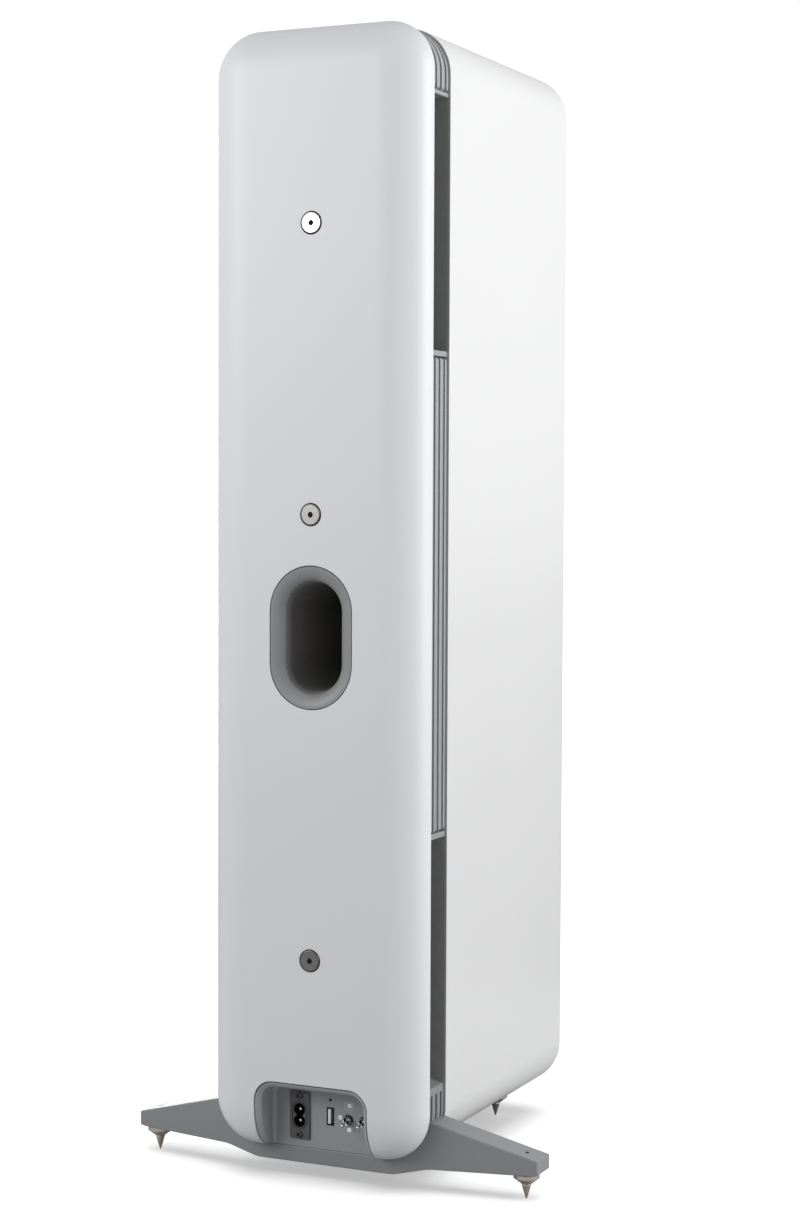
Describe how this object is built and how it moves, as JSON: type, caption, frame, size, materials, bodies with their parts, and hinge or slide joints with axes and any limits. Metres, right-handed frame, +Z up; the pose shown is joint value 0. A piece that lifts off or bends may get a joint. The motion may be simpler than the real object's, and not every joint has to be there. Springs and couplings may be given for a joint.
{
  "type": "floorstanding speaker",
  "caption": "Tall rounded active speaker cabinet with a finned gap and separate rear cover, oval reflex port, foot connection panel and an outrigger base on spikes.",
  "frame": {"origin": "on the floor, under the middle of the object's box", "axes": "+Z up; -Y is the front, which faces the listener; +Y is the rear with the connection panel; +X is the side nearer the mains socket"},
  "size_m": [0.33, 0.2966, 0.846],
  "materials": {
    "white_lacquer": "satin white lacquer on fibreboard",
    "white_cover": "satin white paint",
    "grey_casting": "fine textured grey powder coat",
    "grey_moulding": "matt grey moulding",
    "grey_heatsink": "grey coated extrusion",
    "dark_board": "matt dark grey paint",
    "raw_board": "bare fibreboard",
    "brushed_steel": "turned stainless",
    "spike_metal": "satin champagne nickel on brass",
    "black_moulding": "black moulding",
    "bright_metal": "nickel plate",
    "black_steel": "black coated steel",
    "diaphragm": "dark coated honeycomb sheet",
    "cone_paper": "coated pulp",
    "surround_rubber": "matt",
    "magnet": "plated ferrite and steel",
    "grille_cloth": "pale grey woven",
    "wadding": "loose white fibre",
    "circuit_board": "green board with parts"
  },
  "bodies": {
    "speaker": {"cabinet_sleeve": "white_lacquer", "front_baffle": "dark_board", "rear_baffle": "dark_board", "cabinet_braces": "raw_board", "wadding": "wadding", "spacer_arch": "grey_moulding", "heatsink_left": "grey_heatsink", "heatsink_right": "grey_heatsink", "spacer_block_left": "grey_moulding", "spacer_block_right": "grey_moulding", "window_end_plates": "grey_moulding", "rear_cover": "white_cover", "cover_bolts": "brushed_steel", "cover_standoffs": "black_steel", "cover_brackets": "black_steel", "port_flare": "grey_moulding", "port_tube": "black_moulding", "io_surround": "grey_moulding", "io_panel": "grey_moulding", "mains_inlet": "black_moulding", "mains_pins": "bright_metal", "mains_inlet_screws": "black_steel", "usb_shell": "bright_metal", "usb_tongue": "black_moulding", "placement_switch_body": "black_moulding", "channel_switch_body": "black_moulding", "switch_nuts": "bright_metal", "setup_switch": "black_moulding", "base_bar": "grey_casting", "base_bolts": "black_steel", "front_feet": "black_moulding", "spike_bushes": "spike_metal", "upper_bmr_frame": "black_moulding", "lower_bmr_frame": "black_moulding", "upper_bmr_surround": "surround_rubber", "lower_bmr_surround": "surround_rubber", "bmr_magnets": "magnet", "upper_woofer_basket": "black_steel", "lower_woofer_basket": "black_steel", "upper_woofer_surround": "surround_rubber", "lower_woofer_surround": "surround_rubber", "woofer_magnets": "magnet", "driver_screws": "black_steel", "baffle_magnets": "magnet", "amplifier_board": "circuit_board", "power_supply_board": "circuit_board"},
    "placement_lever": {"placement_switch_lever": "bright_metal"},
    "channel_lever": {"channel_switch_lever": "bright_metal"},
    "button": {"setup_button": "black_moulding"},
    "upper_bmr": {"upper_bmr_diaphragm": "diaphragm"},
    "lower_bmr": {"lower_bmr_diaphragm": "diaphragm"},
    "upper_woofer": {"upper_woofer_cone": "cone_paper"},
    "lower_woofer": {"lower_woofer_cone": "cone_paper"},
    "rear_left_spike": {"spike_rear_left": "spike_metal"},
    "rear_right_spike": {"spike_rear_right": "spike_metal"},
    "front_left_spike": {"spike_front_left": "spike_metal"},
    "front_right_spike": {"spike_front_right": "spike_metal"},
    "grille": {"grille_frame": "black_moulding", "grille_fabric": "grille_cloth", "grille_magnets": "magnet"}
  },
  "joints": [
    {"name": "placement_switch", "type": "hinge", "parent": "speaker", "child": "placement_lever", "pos_m": [-0.0202, 0.1255, 0.0476], "axis": [1, 0, 0], "range_deg": [0, 26]},
    {"name": "channel_switch", "type": "hinge", "parent": "speaker", "child": "channel_lever", "pos_m": [-0.033, 0.1255, 0.0476], "axis": [1, 0, 0], "range_deg": [0, 26]},
    {"name": "setup_press", "type": "slide", "parent": "speaker", "child": "button", "axis": [0, -1, 0], "range_m": [0, 0.0005], "stiffness_N_per_m": 400, "springref_m": -0.001},
    {"name": "upper_bmr_travel", "type": "slide", "parent": "speaker", "child": "upper_bmr", "axis": [0, -1, 0], "range_m": [-0.001, 0.001], "stiffness_N_per_m": 800, "deforming": ["upper_bmr_surround"]},
    {"name": "lower_bmr_travel", "type": "slide", "parent": "speaker", "child": "lower_bmr", "axis": [0, -1, 0], "range_m": [-0.001, 0.001], "stiffness_N_per_m": 800, "deforming": ["lower_bmr_surround"]},
    {"name": "upper_woofer_travel", "type": "slide", "parent": "speaker", "child": "upper_woofer", "axis": [0, 1, 0], "range_m": [-0.005, 0.005], "stiffness_N_per_m": 1200, "deforming": ["upper_woofer_surround"]},
    {"name": "lower_woofer_travel", "type": "slide", "parent": "speaker", "child": "lower_woofer", "axis": [0, 1, 0], "range_m": [-0.005, 0.005], "stiffness_N_per_m": 1200, "deforming": ["lower_woofer_surround"]},
    {"name": "rear_left_spike_thread", "type": "slide", "parent": "speaker", "child": "rear_left_spike", "axis": [0, 0, -1], "range_m": [0, 0.008]},
    {"name": "rear_right_spike_thread", "type": "slide", "parent": "speaker", "child": "rear_right_spike", "axis": [0, 0, -1], "range_m": [0, 0.008]},
    {"name": "front_left_spike_thread", "type": "slide", "parent": "speaker", "child": "front_left_spike", "axis": [0, 0, -1], "range_m": [0, 0.008]},
    {"name": "front_right_spike_thread", "type": "slide", "parent": "speaker", "child": "front_right_spike", "axis": [0, 0, -1], "range_m": [0, 0.008]},
    {"name": "grille_pull", "type": "slide", "parent": "speaker", "child": "grille", "axis": [0, -1, 0], "range_m": [0, 0.06]}
  ]
}
